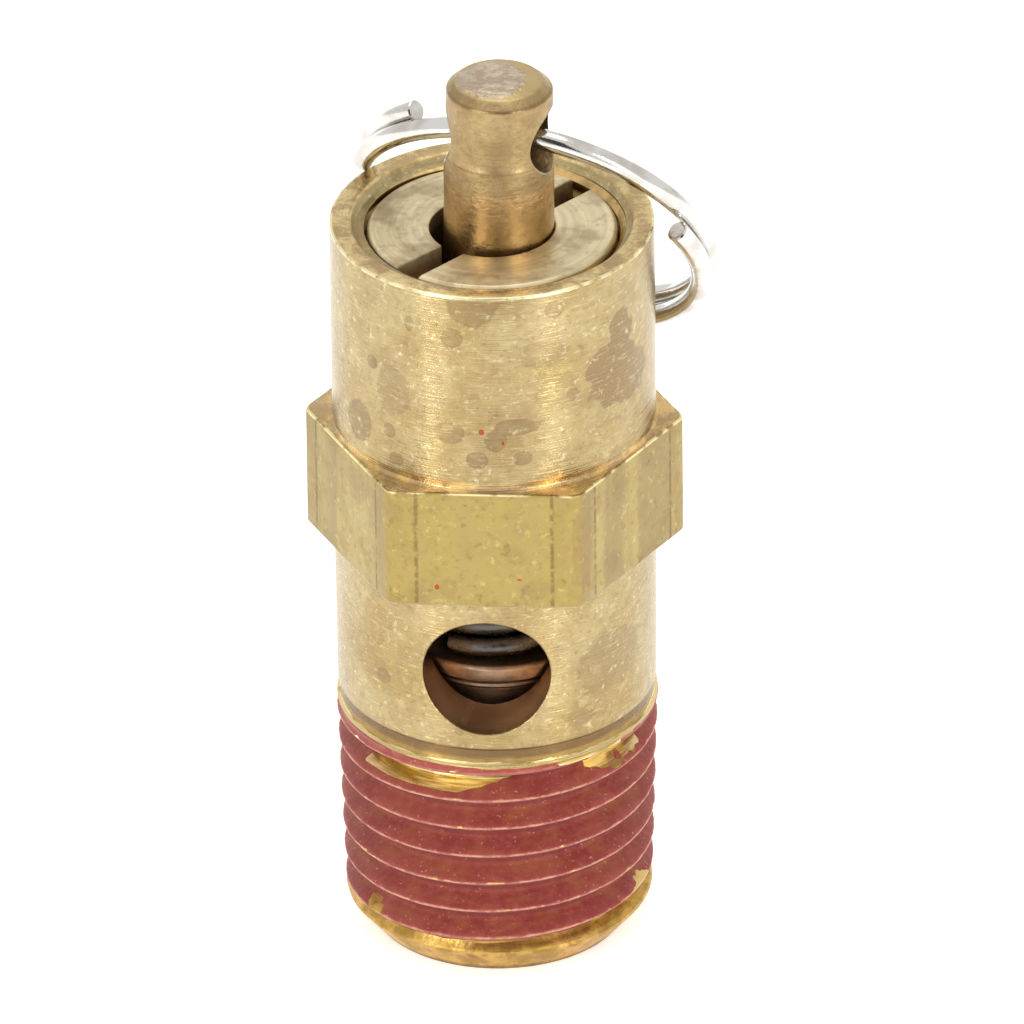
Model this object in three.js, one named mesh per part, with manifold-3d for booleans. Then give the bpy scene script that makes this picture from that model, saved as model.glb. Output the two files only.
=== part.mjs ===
// Pull-ring pressure relief valve for compressed air: a brass body with a 1/4-18 NPT inlet thread, a hexagon,
// cross-drilled discharge holes, and a spring-loaded poppet lifted by a stem with a split ring.
// Millimetres, +Z up along the valve's axis, origin at the centre of the inlet end face.
import * as THREE from 'three';
import { mergeVertices } from 'three/addons/utils/BufferGeometryUtils.js';
import Module from 'manifold-3d';

const wasm = await Module();
wasm.setup();

const deg = Math.PI / 180;

// ---- driving dimensions -------------------------------------------------------------------------
const roundSides = 48;                 // facets round a turned surface
const smallSides = 36;                 // facets round a small or hidden one

// Inlet thread, 1/4-18 NPT, right-handed
const threadPitch = 25.4 / 18;
const threadTaper = 1 / 32;            // radius gained per unit of length (1 in 16 on diameter)
const crestRadiusAtEnd = 6.63;         // crest radius where the thread's cone meets z = 0
const threadDepth = 0.72 * threadPitch;
const crestZAtFront = 5.05;            // height of one crest on the -Y side
const fullThreadTop = 9.4;             // above this the groove fades out
const threadEnd = 10.9;                // end of the fading groove
const facetsPerTurn = 30;              // facets of the thread per turn

// Body, from the inlet end upwards
const endRadius = 5.57;
const endChamferTop = 1.36;
const shoulderZ = 11.03;
const lowerRadius = 6.92;
const lowerTopRadius = 6.98;
const hexBottom = 19.15;
const hexTop = 24.77;
const hexAcrossFlats = 14.2875;        // 9/16 in bar
const hexCornerRound = 0.22;
const upperRadius = 7.0;
const rimZ = 34.34;
const faceYaw = -4 * deg;              // the front flat and the discharge holes face slightly to -X

// Flow path
const inletBoreRadius = 3.4;
const inletBoreTop = 8.3;
const orificeRadius = 2.6;
const orificeBottom = 9.0;
const seatZ = 11.1;
const seatOuterRadius = 3.1;
const chamberFloor = 10.5;
const chamberRadius = 4.3;
const chamberTop = 25.0;
const dischargeRadius = 2.78;          // 7/32 in drill
const dischargeZ = 15.4;

// Adjusting screw and the bore that it screws into
const screwBoreRadius = 5.6;
const mouthRadius = 5.97;
const screwRadius = 5.45;
const screwTopRadius = 5.37;
const screwBottom = 28.0;
const screwTop = 33.99;
const stemHoleRadius = 2.7;
const slotWidth = 1.22;
const slotDepth = 1.35;
const slotYaw = 45 * deg;
const slotOffset = 0.2;

// Spring and its upper washer
const washerRadius = 4.9;
const washerHole = 2.15;
const washerBottom = 27.0;
const washerTop = 27.85;
const springWire = 0.5;                // wire radius
const springRadius = 3.25;             // mean coil radius
const springTurns = 5.5;
const springEndTurns = 1;              // closed turns at each end
const springStart = -126 * deg;        // where the wire starts on the poppet

// Poppet and its elastomer seat
const poppetFlangeRadius = 4.1;
const poppetFlangeTop = 14.33;
const poppetRidge = 13.26;
const poppetBodyRadius = 3.86;
const poppetBottom = 11.5;
const poppetPilotRadius = 2.45;
const poppetPilotTop = 15.6;
const discRadius = 3.3;
const discBottom = 11.13;
const discTop = 12.3;
const footPocketRadius = 2.65;
const footPocketTop = 13.4;
const shankHoleRadius = 1.85;

// Pull stem, leaning a little in its clearance
const stemLean = 0.82 * deg;
const stemLeanYaw = 14 * deg;          // the lean is towards +X and slightly back
const footRadius = 2.3;
const footBottom = 12.6;
const footTop = 13.1;
const shankRadius = 1.5;
const stemShoulderBottom = 29.3;
const stemShoulderTop = 30.2;
const stemRadius = 2.38;
const headRadius = 2.31;
const bevelZ = 40.85;
const headTop = 41.25;
const headTopRadius = 1.85;
const crossHoleRadius = 1.5;
const crossHoleZ = 38.55;
const crossHoleYaw = -15 * deg;

// Pull ring, a split ring of round wire hanging back against the rim
const ringRadius = 7.8;                // to the middle of the wire
const ringWire = 0.47;                 // wire radius
const ringStep = 1.04;                 // rise of the coil per turn
const ringCross = new THREE.Vector3(0.33, 0.07, 38.62);  // where the wire crosses the stem
const ringYaw = -19.5 * deg;
const ringLean = 33 * deg;
const ringStart = -327 * deg;          // wire ends, as angles round the ring from the stem
const ringEnd = 290 * deg;

// Sealant laid in the thread's grooves
const sealantBottom = 1.9;
const sealantTop = 9.0;
const sealantGap = 0.03;
const sealantFill = 0.62;              // share of the groove's depth

const brass = { color: 0xc9b27c, roughness: 0.35, metalness: 1.0 };
const agedBrass = { color: 0xa98a55, roughness: 0.45, metalness: 1.0 };
const darkBrass = { color: 0x7a5638, roughness: 0.5, metalness: 0.9 };
const steel = { color: 0x55565a, roughness: 0.4, metalness: 1.0 };
const nickel = { color: 0xd9d9d6, roughness: 0.15, metalness: 1.0 };
const sealantRed = { color: 0x9a4038, roughness: 0.75, metalness: 0.0 };
const elastomer = { color: 0x2b2b2b, roughness: 0.8, metalness: 0.0 };

// ---- solids -------------------------------------------------------------------------------------
function solidOf(geometry) {
  const bare = geometry.clone();
  bare.deleteAttribute('normal');
  bare.deleteAttribute('uv');
  const merged = mergeVertices(bare, 1e-5);
  return new wasm.Manifold(new wasm.Mesh({
    numProp: 3,
    vertProperties: new Float32Array(merged.attributes.position.array),
    triVerts: new Uint32Array(merged.index.array),
  }));
}

function geometryOf(solid) {
  const mesh = solid.getMesh();
  const geometry = new THREE.BufferGeometry();
  geometry.setAttribute('position', new THREE.BufferAttribute(mesh.vertProperties, 3));
  geometry.setIndex(new THREE.BufferAttribute(mesh.triVerts, 1));
  geometry.computeVertexNormals();
  return geometry;
}

// Merges points that coincide and drops the faces that collapse with them.
function withoutSlivers(positions, faces) {
  const geometry = new THREE.BufferGeometry();
  geometry.setAttribute('position', new THREE.Float32BufferAttribute(positions, 3));
  geometry.setIndex(faces);
  const merged = mergeVertices(geometry, 1e-5);
  const index = merged.index.array;
  const kept = [];
  for (let i = 0; i < index.length; i += 3) {
    const [a, b, c] = [index[i], index[i + 1], index[i + 2]];
    if (a !== b && b !== c && c !== a) kept.push(a, b, c);
  }
  merged.setIndex(kept);
  return merged;
}

// A solid turned about Z from [radius, height] points; the outline starts and ends on the axis or closes on itself.
function turned(points, sides = roundSides) {
  const outline = points.map(([radius, height]) => new THREE.Vector2(radius, height));
  return new THREE.LatheGeometry(outline, sides).rotateX(Math.PI / 2);
}

// A ring or sleeve: the outline is closed by repeating its first point.
function turnedRing(points, sides = roundSides) {
  return turned([...points, points[0]], sides);
}

function named(name, geometry, look) {
  const mesh = new THREE.Mesh(geometry, new THREE.MeshStandardMaterial(look));
  mesh.name = name;
  return mesh;
}

// ---- the threaded inlet -------------------------------------------------------------------------
const flank = Math.tan(30 * deg);
const rootHalf = 0.05;                 // half width of the groove's floor
const crestHalf = threadPitch / 2 - rootHalf - threadDepth * flank;
const facetAngle = 2 * Math.PI / facetsPerTurn;

const crestRadiusAt = (z) => crestRadiusAtEnd + z * threadTaper;
const crestZAt = (angle, turn) => crestZAtFront + threadPitch * (turn + 0.25 + angle / (2 * Math.PI));

// The plain outline that the thread is cut into: the lead chamfer, the thread's cone, then the shoulder.
function outlineRadiusAt(z) {
  const chamferSlope = (crestRadiusAt(endChamferTop) - endRadius) / endChamferTop;
  return Math.min(endRadius + chamferSlope * z, crestRadiusAt(z), lowerRadius);
}

// The threaded spigot as one closed skin. Each column of points stands at one angle and runs up the thread's
// outline, and its points climb by one pitch in a turn, so the last column meets the first.
function threadedSpigot() {
  const turnsBelow = 5;
  const turnsAbove = 5;
  const positions = [];
  const faces = [];
  for (let step = 0; step <= facetsPerTurn; step += 1) {
    const angle = step * facetAngle;
    const column = [[0, 0]];
    for (let turn = -turnsBelow; turn <= turnsAbove; turn += 1) {
      const crestZ = crestZAt(angle, turn);
      const corners = [
        [-crestHalf, 0],
        [crestHalf, 0],
        [threadPitch / 2 - rootHalf, threadDepth],
        [threadPitch / 2 + rootHalf, threadDepth],
      ];
      for (const [rise, depth] of corners) {
        const z = Math.min(Math.max(crestZ + rise, 0), shoulderZ);
        const fade = Math.min(1, Math.max(0, (threadEnd - z) / (threadEnd - fullThreadTop)));
        column.push([Math.min(crestRadiusAt(z) - depth * fade, outlineRadiusAt(z)), z]);
      }
    }
    column.push([0, shoulderZ]);
    for (const [radius, z] of column) {
      positions.push(radius * Math.cos(angle), radius * Math.sin(angle), z);
    }
    if (step === 0) continue;
    const count = column.length;
    for (let k = 0; k + 1 < count; k += 1) {
      const a = (step - 1) * count + k;
      const b = step * count + k;
      faces.push(a, b, b + 1, a, b + 1, a + 1);
    }
  }
  return solidOf(withoutSlivers(positions, faces));
}

// Dried sealant lying in the groove, a strip with four corners that stays just clear of the flanks.
function threadSealant() {
  const grooveTurn = 0.5;
  const angleAt = (z) => 2 * Math.PI * ((z - crestZAtFront) / threadPitch - 0.25 - grooveTurn);
  const first = Math.ceil(angleAt(sealantBottom) / facetAngle);
  const last = Math.floor(angleAt(sealantTop) / facetAngle);
  const corners = 4;
  const positions = [];
  const faces = [];
  for (let step = first; step <= last; step += 1) {
    const angle = step * facetAngle;
    const z = crestZAt(angle, grooveTurn);
    const root = crestRadiusAt(z) - threadDepth + 2 * sealantGap;
    const top = root + threadDepth * sealantFill;
    const wide = rootHalf + (top - root) * flank;
    for (const [radius, rise] of [[top, -wide], [top, wide], [root, rootHalf], [root, -rootHalf]]) {
      positions.push(radius * Math.cos(angle), radius * Math.sin(angle), z + rise);
    }
  }
  const end = (last - first) * corners;
  for (let base = 0; base < end; base += corners) {
    for (let k = 0; k < corners; k += 1) {
      const a = base + k;
      const b = base + (k + 1) % corners;
      faces.push(a, a + corners, b, b, a + corners, b + corners);
    }
  }
  faces.push(0, 1, 2, 0, 2, 3, end, end + 2, end + 1, end, end + 3, end + 2);
  return withoutSlivers(positions, faces);
}

// ---- the body -----------------------------------------------------------------------------------
function bodyBlank() {
  const barrel = solidOf(turned([
    [0, shoulderZ - 0.1],
    [lowerRadius, shoulderZ - 0.1],
    [lowerTopRadius, hexBottom],
    [upperRadius, hexTop],
    [upperRadius, rimZ - 0.12],
    [upperRadius - 0.12, rimZ],
    [0, rimZ],
  ]));
  return barrel.add(hexagon()).add(threadedSpigot());
}

function hexagon() {
  const corner = hexAcrossFlats / Math.sqrt(3);
  const outline = new THREE.Shape();
  for (let i = 0; i < 6; i += 1) {
    const angle = (60 * i) * deg + faceYaw;
    const spread = hexCornerRound / corner;
    for (const side of [-1, 1]) {
      const a = angle + side * spread;
      const radius = hexAcrossFlats / 2 / Math.cos(30 * deg - spread);
      const x = radius * Math.cos(a);
      const y = radius * Math.sin(a);
      if (i === 0 && side === -1) outline.moveTo(x, y);
      else outline.lineTo(x, y);
    }
  }
  outline.closePath();
  const bar = new THREE.ExtrudeGeometry(outline, { depth: hexTop - hexBottom, bevelEnabled: false });
  return solidOf(bar.translate(0, 0, hexBottom));
}

function flowPath() {
  const above = 1;
  return solidOf(turned([
    [0, -1],
    [inletBoreRadius, -1],
    [inletBoreRadius, inletBoreTop],
    [orificeRadius, orificeBottom],
    [orificeRadius, seatZ],
    [seatOuterRadius, seatZ],
    [seatOuterRadius + 0.35, chamberFloor],
    [chamberRadius, chamberFloor],
    [chamberRadius, chamberTop],
    [screwBoreRadius, chamberTop + 0.8],
    [screwBoreRadius, rimZ - (mouthRadius - screwBoreRadius)],
    [mouthRadius + above, rimZ + above],
    [0, rimZ + above],
  ]));
}

// One drilling right through, front to back, level with the poppet.
function dischargeDrilling() {
  const drill = new THREE.CylinderGeometry(dischargeRadius, dischargeRadius, 20, smallSides);
  return solidOf(drill.rotateZ(faceYaw).translate(0, 0, dischargeZ));
}

function valveBody() {
  return geometryOf(
    bodyBlank().subtract(flowPath()).subtract(dischargeDrilling()),
  );
}

// ---- the poppet and its seat --------------------------------------------------------------------
function poppet() {
  return turnedRing([
    [shankHoleRadius, footPocketTop],
    [footPocketRadius, footPocketTop],
    [footPocketRadius, discTop + 0.03],
    [discRadius + 0.05, discTop + 0.03],
    [discRadius + 0.05, poppetBottom],
    [poppetBodyRadius - 0.2, poppetBottom],
    [poppetBodyRadius, poppetBottom + 0.2],
    [poppetBodyRadius, poppetRidge],
    [poppetFlangeRadius, poppetRidge + 0.08],
    [poppetFlangeRadius, poppetFlangeTop - 0.12],
    [poppetFlangeRadius - 0.12, poppetFlangeTop],
    [poppetPilotRadius, poppetFlangeTop],
    [poppetPilotRadius, poppetPilotTop - 0.3],
    [poppetPilotRadius - 0.3, poppetPilotTop],
    [shankHoleRadius, poppetPilotTop],
  ], smallSides);
}

function seatDisc() {
  const edge = 0.12;
  return turned([
    [0, discBottom],
    [discRadius - edge, discBottom],
    [discRadius, discBottom + edge],
    [discRadius, discTop],
    [0, discTop],
  ], smallSides);
}

// ---- the spring and what adjusts it -------------------------------------------------------------
class CoilCurve extends THREE.Curve {
  getPoint(t, target = new THREE.Vector3()) {
    const closedRise = 2 * springWire + 0.06;
    const bottom = poppetFlangeTop + springWire + 0.03;
    const top = washerBottom - springWire - 0.03;
    const turns = springTurns + 2 * springEndTurns;
    const turn = t * turns;
    const activeRise = (top - bottom - 2 * springEndTurns * closedRise) / springTurns;
    const below = Math.min(turn, springEndTurns);
    const active = Math.min(Math.max(turn - springEndTurns, 0), springTurns);
    const above = Math.max(turn - springEndTurns - springTurns, 0);
    const z = bottom + (below + above) * closedRise + active * activeRise;
    const angle = springStart + 2 * Math.PI * turn;
    return target.set(springRadius * Math.cos(angle), springRadius * Math.sin(angle), z);
  }
}

class SplitRingCurve extends THREE.Curve {
  getPoint(t, target = new THREE.Vector3()) {
    const angle = ringStart + t * (ringEnd - ringStart);
    return target.set(
      -ringRadius * Math.sin(angle),
      -ringStep * angle / (2 * Math.PI),
      ringRadius * (Math.cos(angle) - 1),
    );
  }
}

function wire(curve, radius, sides, steps) {
  const section = new THREE.Shape();
  for (let i = 0; i < sides; i += 1) {
    const a = 2 * Math.PI * i / sides;
    if (i === 0) section.moveTo(radius * Math.cos(a), radius * Math.sin(a));
    else section.lineTo(radius * Math.cos(a), radius * Math.sin(a));
  }
  section.closePath();
  return new THREE.ExtrudeGeometry(section, { extrudePath: curve, steps, bevelEnabled: false });
}

function springWasher() {
  return turnedRing([
    [washerHole, washerBottom],
    [washerRadius, washerBottom],
    [washerRadius, washerTop],
    [washerHole, washerTop],
  ], smallSides);
}

function adjustingScrew() {
  const chamfer = 0.25;
  const blank = solidOf(turned([
    [0, screwBottom],
    [screwRadius - chamfer, screwBottom],
    [screwRadius, screwBottom + chamfer],
    [screwRadius, screwTop - chamfer],
    [screwTopRadius, screwTop - 0.12],
    [screwTopRadius - 0.12, screwTop],
    [0, screwTop],
  ]));
  const hole = new THREE.CylinderGeometry(stemHoleRadius, stemHoleRadius, 20, smallSides);
  const slot = new THREE.BoxGeometry(4 * screwRadius, slotWidth, 2 * slotDepth);
  slot.translate(0, -slotOffset, screwTop).rotateZ(slotYaw);
  return geometryOf(
    blank.subtract(solidOf(hole.rotateX(Math.PI / 2).translate(0, 0, screwTop))).subtract(solidOf(slot)),
  );
}

// ---- the stem -----------------------------------------------------------------------------------
// The stem stands at its own origin, on the level that it leans about.
function pullStem() {
  const z = (height) => height - footBottom;
  const blank = solidOf(turned([
    [0, z(footBottom)],
    [footRadius, z(footBottom)],
    [footRadius, z(footTop)],
    [shankRadius, z(footTop) + 0.15],
    [shankRadius, z(stemShoulderBottom)],
    [stemRadius, z(stemShoulderTop)],
    [stemRadius, z(crossHoleZ)],
    [headRadius, z(bevelZ)],
    [headTopRadius, z(headTop)],
    [0, z(headTop)],
  ]));
  const hole = new THREE.CylinderGeometry(crossHoleRadius, crossHoleRadius, 12, 32);
  hole.rotateZ(Math.PI / 2).rotateZ(crossHoleYaw).translate(0, 0, z(crossHoleZ));
  return geometryOf(blank.subtract(solidOf(hole)));
}

// ---- the assembly -------------------------------------------------------------------------------
const valve = new THREE.Group();
valve.add(named('valve_body', valveBody(), brass));
valve.add(named('thread_sealant', threadSealant(), sealantRed));
valve.add(named('poppet', poppet(), darkBrass));
valve.add(named('seat_disc', seatDisc(), elastomer));
valve.add(named('valve_spring', wire(new CoilCurve(), springWire, 6, 96), steel));
valve.add(named('spring_washer', springWasher(), agedBrass));
valve.add(named('adjusting_screw', adjustingScrew(), brass));

const stem = named('pull_stem', pullStem(), agedBrass);
const leanAxis = new THREE.Vector3(-Math.sin(stemLeanYaw), Math.cos(stemLeanYaw), 0);
stem.quaternion.setFromAxisAngle(leanAxis, stemLean);
stem.position.set(0, 0, footBottom);
valve.add(stem);

const ring = named('pull_ring', wire(new SplitRingCurve(), ringWire, 8, 80), nickel);
ring.rotation.set(ringLean, 0, ringYaw, 'ZYX');
ring.position.copy(ringCross);
valve.add(ring);

valve.updateMatrixWorld(true);

export default valve;
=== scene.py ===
# The looks of a pull-ring pressure relief valve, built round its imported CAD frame.
# Lengths are in millimetres until a mesh is made, and in metres from there on.
import math
import bpy
import numpy as np
from mathutils import Matrix, Vector, noise


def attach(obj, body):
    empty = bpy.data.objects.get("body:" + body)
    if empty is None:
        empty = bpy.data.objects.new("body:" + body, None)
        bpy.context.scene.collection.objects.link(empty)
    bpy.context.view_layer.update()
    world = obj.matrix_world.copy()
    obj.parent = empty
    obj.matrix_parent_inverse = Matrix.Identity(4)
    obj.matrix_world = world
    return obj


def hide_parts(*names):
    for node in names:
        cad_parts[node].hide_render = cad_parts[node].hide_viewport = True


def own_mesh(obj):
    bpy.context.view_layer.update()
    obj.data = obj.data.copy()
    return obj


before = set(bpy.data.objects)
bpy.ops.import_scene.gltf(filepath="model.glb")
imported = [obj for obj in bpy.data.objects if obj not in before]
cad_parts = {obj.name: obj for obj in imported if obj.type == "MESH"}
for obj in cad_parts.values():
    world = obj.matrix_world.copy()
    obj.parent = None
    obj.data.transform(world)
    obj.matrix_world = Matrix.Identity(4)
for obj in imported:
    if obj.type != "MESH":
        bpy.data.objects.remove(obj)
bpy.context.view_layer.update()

MM = 0.001

# ---- sizes of the real valve ----
PITCH = 25.4 / 18                       # 1/4-18 NPT
TAPER = 1 / 32
CREST_RADIUS = 6.63                     # where the thread's cone meets z = 0
THREAD_DEPTH = 1.0
CREST_Z_FRONT = 5.05
THREAD_FADE = (10.2, 11.0)              # the groove runs out between these heights
THREAD_START = (1.45, 2.1)              # and grows in between these
END_RADIUS = 5.57
END_CHAMFER_TOP = 1.36
NECK_RADIUS = 6.82                      # the turned band between the thread and the lower cylinder
LOWER_RADIUS, LOWER_BOTTOM = 6.92, 11.9
HEX_BOTTOM, HEX_TOP = 19.15, 24.77
HEX_APOTHEM = 14.2875 / 2
STRIP_EDGE = 2.93                       # each flat has a line this far from its middle, on both sides
UPPER_RADIUS = 7.0
RIM_Z = 34.34
FACE_YAW = math.radians(-4)
INLET_RADIUS, INLET_TOP = 3.4, 8.3
ORIFICE_RADIUS, ORIFICE_BOTTOM = 2.6, 9.0
CHAMBER_FLOOR, CHAMBER_RADIUS, CHAMBER_TOP = 10.5, 4.3, 25.0
SEAT_Z, SEAT_RADIUS, SEAT_FOOT_RADIUS = 11.1, 3.1, 3.45
SCREW_BORE, BORE_THREAD_BOTTOM = 5.6, 31.2
MOUTH_RADIUS = 6.14
DISCHARGE_RADIUS, DISCHARGE_Z = 2.78, 15.4
SCREW_TOP, SCREW_BOTTOM, SCREW_RADIUS = 33.99, 28.0, 5.39
STEM_HOLE = 2.7
SLOT_WIDTH, SLOT_DEPTH, SLOT_YAW, SLOT_OFFSET = 1.22, 1.35, math.radians(45), 0.2
STEM_LEAN, STEM_LEAN_YAW, STEM_FOOT_Z = math.radians(0.82), math.radians(14), 12.6
STEM_SHANK_RADIUS, STEM_RADIUS, STEM_HEAD_RADIUS = 1.5, 2.38, 2.31
STEM_RIDGE_Z, STEM_BEVEL_Z, STEM_TOP = 37.75, 40.72, 41.2
CROSS_HOLE, CROSS_HOLE_Z, CROSS_HOLE_YAW = 1.5, 38.55, math.radians(-15)
RING_RADIUS, RING_WIRE, RING_STEP = 7.8, 0.47, 1.04
RING_CROSS = (0.33, 0.07, 38.62)
RING_YAW, RING_LEAN = math.radians(-19.5), math.radians(33)
RING_START, RING_END = math.radians(-327), math.radians(290)
SPRING_WIRE, SPRING_RADIUS = 0.5, 3.25
SPRING_BOTTOM, SPRING_TOP = 14.33, 27.0
SPRING_ACTIVE_TURNS, SPRING_CLOSED_TURNS, SPRING_START = 5.5, 1, math.radians(-126)
STEM_LIFT, SCREW_TRAVEL = 1.5, 1.5874
POPPET_BORE, POPPET_HUB, POPPET_SKIRT, POPPET_FLANGE = 1.85, 2.45, 3.86, 4.1
POPPET_BOTTOM, POPPET_TOP = 11.5, 15.6
DISC_RADIUS, DISC_BOTTOM, DISC_TOP = 3.3, 11.13, 12.3
WASHER_HOLE, WASHER_RADIUS, WASHER_TOP = 2.15, 4.9, 27.85

COLUMNS = 360                           # one column per degree round the body


# ---- mesh building ----
def mesh_piece(name, points, faces, materials, slots=None, sharp_angle=35):
    """A mesh from points in millimetres. Points that coincide are merged, and what collapses is dropped."""
    keys = np.round(np.asarray(points) * 1e5).astype(np.int64)
    _, first, inverse = np.unique(keys, axis=0, return_index=True, return_inverse=True)
    faces = inverse.reshape(-1)[np.asarray(faces)]
    kept, kept_slots = [], []
    for k, face in enumerate(faces.tolist()):
        corners = [c for i, c in enumerate(face) if c != face[i - 1]]
        if len(corners) > 2 and len(set(corners)) == len(corners):
            kept.append(corners)
            kept_slots.append(0 if slots is None else int(slots[k]))
    mesh = bpy.data.meshes.new(name)
    mesh.from_pydata((np.asarray(points)[first] * MM).tolist(), [], kept)
    for material in materials:
        mesh.materials.append(material)
    mesh.polygons.foreach_set("material_index", kept_slots)
    mesh.validate()
    mesh.shade_smooth()
    mesh.set_sharp_from_angle(angle=math.radians(sharp_angle))
    piece = bpy.data.objects.new(name, mesh)
    bpy.context.scene.collection.objects.link(piece)
    return piece


def grid_piece(name, points, materials, close_columns=True, close_rows=False, flip=False, **options):
    """A mesh with quads between neighbouring columns and rows of a grid of points."""
    columns, rows = points.shape[:2]
    i = np.arange(columns if close_columns else columns - 1)
    j = np.arange(rows if close_rows else rows - 1)
    i, j = (a.ravel() for a in np.meshgrid(i, j, indexing="ij"))
    i2, j2 = (i + 1) % columns, (j + 1) % rows
    faces = np.stack([i * rows + j, i2 * rows + j, i2 * rows + j2, i * rows + j2], axis=1)
    return mesh_piece(name, points.reshape(-1, 3), faces[:, ::-1] if flip else faces, materials, **options)


def rounded(outline, radius, steps=4):
    """The outline with each inner corner replaced by an arc, as far as its two sides have room."""
    outline = [np.array(p, float) for p in outline]
    result = [outline[0]]
    for before, corner, after in zip(outline, outline[1:], outline[2:]):
        back, on = before - corner, after - corner
        reach = min(radius, 0.45 * np.linalg.norm(back), 0.45 * np.linalg.norm(on))
        start = corner + back / np.linalg.norm(back) * reach
        end = corner + on / np.linalg.norm(on) * reach
        for k in range(steps + 1):
            t = k / steps
            result.append((1 - t) ** 2 * start + 2 * t * (1 - t) * corner + t * t * end)
    result.append(outline[-1])
    return result


def subdivided(outline, longest):
    """The outline with extra points, so that no stretch is longer than the given length."""
    result = [outline[0]]
    for a, b in zip(outline, outline[1:]):
        count = max(1, math.ceil(np.linalg.norm(np.array(b) - np.array(a)) / longest))
        result += [np.array(a) + (np.array(b) - np.array(a)) * k / count for k in range(1, count + 1)]
    return result


def turned_piece(name, outline, materials, columns=96, ring=False, wobble=0.0):
    """A solid of revolution. A ring's outline closes on itself, and any other ends on the axis."""
    angles = np.arange(columns) * 2 * math.pi / columns
    points = np.empty((columns, len(outline), 3))
    for i, angle in enumerate(angles):
        for j, (radius, z) in enumerate(outline):
            r = radius
            if wobble and radius > 0:
                place = Vector((radius * math.cos(angle), radius * math.sin(angle), z))
                r += wobble * noise.noise(place * 0.9)
            points[i, j] = (r * math.cos(angle), r * math.sin(angle), z)
    return grid_piece(name, points, materials, close_rows=ring)


def wire_piece(name, centres, radius, up, materials, sides=20):
    """A round wire along the centres, with flat ends that are slightly bevelled."""
    centres = np.asarray(centres, float)
    along = np.gradient(centres, axis=0)
    along /= np.linalg.norm(along, axis=1)[:, None]
    side = np.cross(along, up)
    side /= np.linalg.norm(side, axis=1)[:, None]
    over = np.cross(side, along)
    bevel = 0.12 * radius
    rings = [(0, 0.0, 0.0), (0, radius - bevel, 0.0), (0, radius, bevel)]
    rings += [(k, radius, 0.0) for k in range(1, len(centres) - 1)]
    last = len(centres) - 1
    rings += [(last, radius, -bevel), (last, radius - bevel, 0.0), (last, 0.0, 0.0)]
    turn = np.arange(sides) * 2 * math.pi / sides
    points = np.empty((sides, len(rings), 3))
    for j, (k, r, shift) in enumerate(rings):
        circle = np.outer(np.cos(turn), side[k]) + np.outer(np.sin(turn), over[k])
        points[:, j] = centres[k] + along[k] * shift + circle * r
    return grid_piece(name, points, materials, flip=True)


def cut(piece, cutter):
    """Cuts the cutter out of the piece, and leaves nothing of the cutter behind."""
    modifier = piece.modifiers.new("cut", "BOOLEAN")
    modifier.operation = "DIFFERENCE"
    modifier.solver = "EXACT"
    modifier.object = cutter
    graph = bpy.context.evaluated_depsgraph_get()
    mesh = bpy.data.meshes.new_from_object(piece.evaluated_get(graph))
    piece.modifiers.clear()
    piece.data = mesh
    bpy.data.objects.remove(cutter)
    mesh.shade_smooth()
    mesh.set_sharp_from_angle(angle=math.radians(35))


def drill(name, hole_radius, round_radius, chamfer, place, sides=96):
    """A cutter for a hole right across a round bar along Y, with both mouths chamfered to the bar's curve."""
    flare = 0.5
    turn = np.arange(sides) * 2 * math.pi / sides
    loops = []
    for direction in (-1, 1):
        for grow, out in ((chamfer + flare, flare), (0.0, -chamfer)):
            radius = hole_radius + grow
            across = radius * np.cos(turn)
            depth = np.sqrt(np.maximum(round_radius ** 2 - across ** 2, 0)) + out
            loops.append(np.stack([across, direction * depth, radius * np.sin(turn)], axis=1))
    loops = [loops[0], loops[1], loops[3], loops[2]]
    ends = [np.repeat(np.array([[0, loop[0, 1], 0]]), sides, axis=0) for loop in (loops[0], loops[-1])]
    ends[0][:, 1] = loops[0][:, 1].min()
    ends[1][:, 1] = loops[-1][:, 1].max()
    points = np.stack([ends[0], *loops, ends[1]], axis=1)
    cutter = grid_piece(name, points, [], flip=True)
    cutter.data.transform(place)
    return cutter


# ---- the taper pipe thread ----
# Distances from a crest along the thread, over one pitch, where its outline has a point.
HALF_STEPS = (0.025, 0.07, 0.15, 0.3, 0.45, 0.6, 0.66)
THREAD_STEPS = (-0.7056, *(-step for step in HALF_STEPS[::-1]), *HALF_STEPS)
THREAD_TURNS = 6


def smooth(value, low, high):
    """Rises from 0 to 1 between low and high. High may be the lower one, and then it falls."""
    t = min(max((value - low) / (high - low), 0.0), 1.0)
    return t * t * (3 - 2 * t)


def thread_depth_at(rise, z):
    """How far below the crest's cone the thread's surface lies."""
    crest_half, root_start, root_half, round_root = 0.045, 0.65, 0.0556, 0.05
    sharp = (abs(rise) - crest_half) / math.tan(math.radians(30))
    depth = min(max(sharp, 0.0), THREAD_DEPTH - round_root)
    if abs(rise) > root_start:
        depth += round_root * (abs(rise) - root_start) / root_half
    return depth * (1 - smooth(z, *THREAD_FADE)) * smooth(z, *THREAD_START)


def spigot_radius_at(z):
    """The radius of the blank that the thread is cut in: a chamfer, then the crests' cone."""
    slope = (CREST_RADIUS + TAPER * END_CHAMFER_TOP - END_RADIUS) / END_CHAMFER_TOP
    return min(END_RADIUS + slope * z, CREST_RADIUS + TAPER * z)


def helix_heights(angle, first_z, pitch, turns, steps, bottom, top):
    """(height, rise from the nearest crest) of a thread's points in one column, none past its two ends."""
    crest = first_z + pitch * angle / (2 * math.pi)
    for turn in turns:
        for step in steps:
            z = min(max(crest + pitch * turn + step, bottom), top)
            yield z, (z - crest + pitch / 2) % pitch - pitch / 2


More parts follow.
